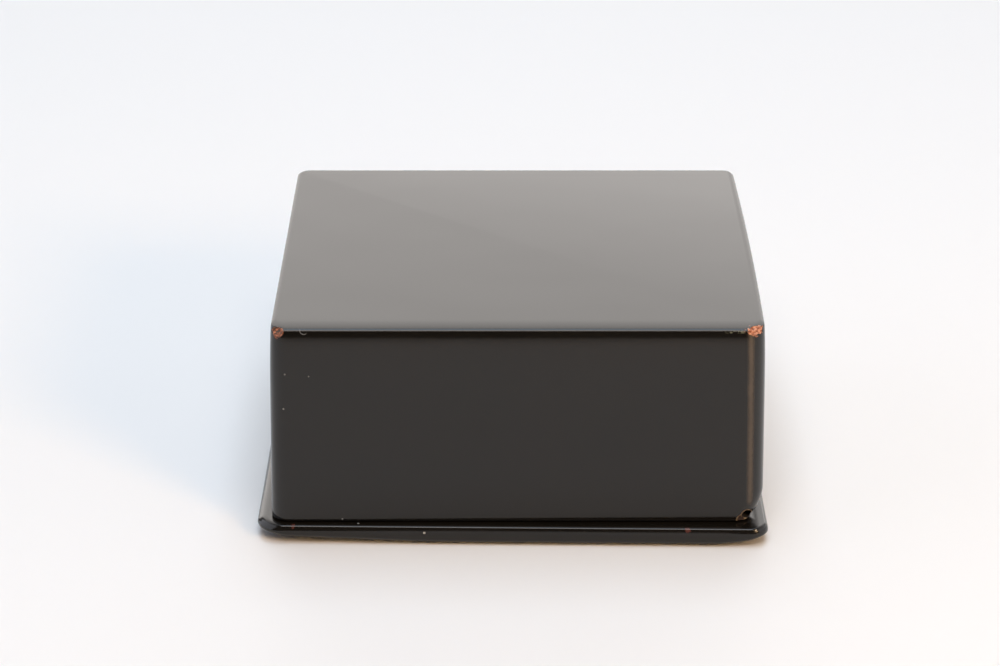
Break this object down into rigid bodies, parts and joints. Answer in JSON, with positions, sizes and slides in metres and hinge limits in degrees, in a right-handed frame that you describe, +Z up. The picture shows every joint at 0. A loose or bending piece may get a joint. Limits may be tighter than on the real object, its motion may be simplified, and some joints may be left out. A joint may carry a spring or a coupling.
{
  "type": "lacquer box",
  "caption": "Small rectangular black lacquered box with a loose, slightly wider thin lid, standing upside down on the lid; worn corners and a small hole at the seam.",
  "frame": {"origin": "on the surface the box stands on, under the middle of the lid, as the box stands upside down on its lid", "axes": "+Z up, through the lid, the mouth and the underside of the box; +X along the longer side, to the viewer's right; +Y away from the viewer, towards the back"},
  "size_m": [0.0936, 0.0872, 0.0419],
  "materials": {
    "box_lacquer": "black lacquer with a soft gloss over an orange-brown ground, worn through at two corners",
    "lid_lacquer": "black lacquer with a soft gloss, a few small rubbed spots along the edge"
  },
  "bodies": {
    "root": {"body": "box_lacquer", "lid": "lid_lacquer"}
  },
  "joints": []
}
